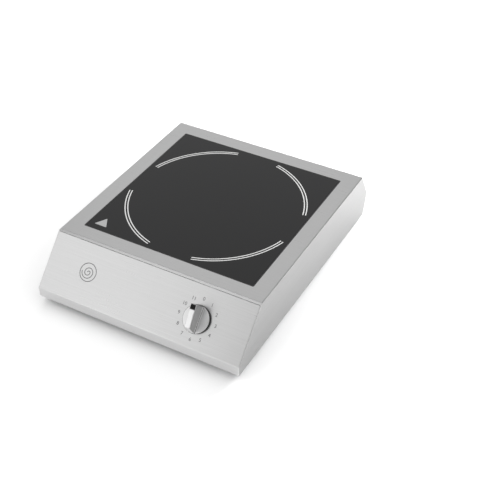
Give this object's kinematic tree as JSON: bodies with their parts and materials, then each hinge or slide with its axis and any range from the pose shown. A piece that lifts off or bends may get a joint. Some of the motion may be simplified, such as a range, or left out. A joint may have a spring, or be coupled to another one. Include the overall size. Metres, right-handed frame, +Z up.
{
  "type": "induction hob",
  "caption": "Countertop induction hob: low brushed steel housing with a sloped front, black glass cooking plate, turning power knob, cooling fan and rear cable gland.",
  "frame": {"origin": "middle of the overall footprint, knob and cable gland included, on the surface the feet stand on", "axes": "+X to the right seen from the front, +Y to the back, +Z up"},
  "size_m": [0.34, 0.4444, 0.0948],
  "materials": {
    "brushed_stainless": "long-line brushed stainless steel",
    "galvanised": "zinc plated sheet",
    "zinc_fastener": "bright zinc plated",
    "black_glass": "polished black glass-ceramic with light grey print",
    "black_silicone": "satin sealant",
    "foot_rubber": "matt moulded rubber",
    "silver_knob": "satin silver coated moulding",
    "black_insert": "matt black moulding",
    "spring_steel": "polished spring steel",
    "black_plastic": "fine grained black moulding",
    "grey_plastic": "light grey moulding",
    "white_plastic": "white moulding",
    "copper_litz": "enamelled copper strand",
    "ferrite": "sintered dark grey",
    "mica": "pressed mica",
    "aluminium": "mill finish",
    "circuit_board": "solder mask with tracks",
    "epoxy": "moulded epoxy",
    "film_case": "capacitor case",
    "wire_cover": "silicone covered wire",
    "brass": "turned brass",
    "fuse_glass": "clear tube with metal ends"
  },
  "bodies": {
    "housing": {"air_duct": "black_plastic", "auxiliary_transformer": "epoxy", "base_plate": "galvanised", "board_connectors": "white_plastic", "board_standoffs": "brass", "bridge_rectifier": "epoxy", "buzzer": "epoxy", "choke_cores": "ferrite", "choke_windings": "copper_litz", "coil_carrier": "black_plastic", "coil_leads": "wire_cover", "coil_posts": "brass", "coil_shield_plate": "aluminium", "coil_terminals": "brass", "coil_winding": "copper_litz", "control_board": "circuit_board", "control_chip": "epoxy", "earth_stud": "brass", "fan_frame": "black_plastic", "fan_stator": "copper_litz", "ferrite_bars": "ferrite", "filter_board": "circuit_board", "filter_capacitors": "film_case", "foot_bolts": "zinc_fastener", "front_left_foot": "foot_rubber", "front_panel": "brushed_stainless", "front_right_foot": "foot_rubber", "fuse": "fuse_glass", "fuse_holder": "black_plastic", "gland_body": "grey_plastic", "gland_cap": "grey_plastic", "gland_locknut": "grey_plastic", "gland_seal": "black_silicone", "glass_ceramic_plate": "black_glass", "glass_seal": "black_silicone", "glass_support_frame": "galvanised", "heat_sink": "aluminium", "housing_screws": "zinc_fastener", "housing_shell": "brushed_stainless", "insulation_sheet": "mica", "link_capacitor": "film_case", "mains_wires": "wire_cover", "power_board": "circuit_board", "power_transistors": "epoxy", "rear_left_foot": "foot_rubber", "rear_right_foot": "foot_rubber", "resonance_capacitors": "film_case", "signal_cables": "wire_cover", "small_screws": "zinc_fastener", "switch_body": "black_plastic", "switch_bush": "brass", "switch_nut": "zinc_fastener", "temperature_sensor": "white_plastic", "terminal_block": "white_plastic", "terminal_screws": "brass"},
    "knob": {"power_knob": "silver_knob", "knob_pointer": "black_insert", "knob_clip": "spring_steel", "switch_shaft": "brass"},
    "fan_rotor": {"fan_rotor": "black_plastic"}
  },
  "joints": [
    {"name": "power_knob_turn", "type": "hinge", "parent": "housing", "child": "knob", "pos_m": [0.088, -0.19382, 0.05847], "axis": [0, 0.7207, -0.6933], "range_deg": [0, 330]},
    {"name": "fan_spin", "type": "hinge", "parent": "housing", "child": "fan_rotor", "pos_m": [-0.085, -0.06478, 0.0263], "axis": [0, 0, 1], "continuous": true}
  ]
}
